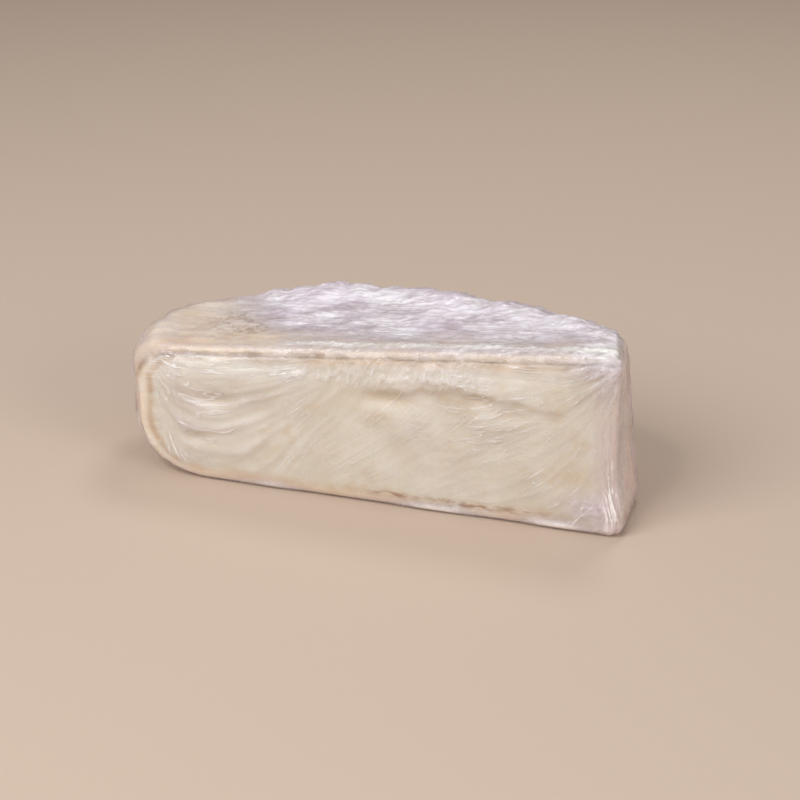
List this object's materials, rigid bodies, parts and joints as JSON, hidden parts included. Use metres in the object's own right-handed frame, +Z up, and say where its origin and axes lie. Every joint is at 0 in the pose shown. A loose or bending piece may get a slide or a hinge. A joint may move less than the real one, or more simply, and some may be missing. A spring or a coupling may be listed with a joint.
{
  "type": "wrapped piece of soft buffalo milk cheese",
  "caption": "Cut piece of ivory soft cheese with a rounded rind at its back and left end, wrapped tightly in clear cling film that is gathered along the top.",
  "frame": {"origin": "middle of the bounding box at the flat underside", "axes": "+X along the long cut face, +Y from the long cut face to the rind at the back, +Z up"},
  "size_m": [0.191, 0.078, 0.0672],
  "materials": {
    "cheese": null,
    "film": "clear, glossy, wrinkled cling film, milky where it lies in many layers"
  },
  "bodies": {
    "root": {"wrapped_cheese": "cheese"}
  },
  "joints": []
}
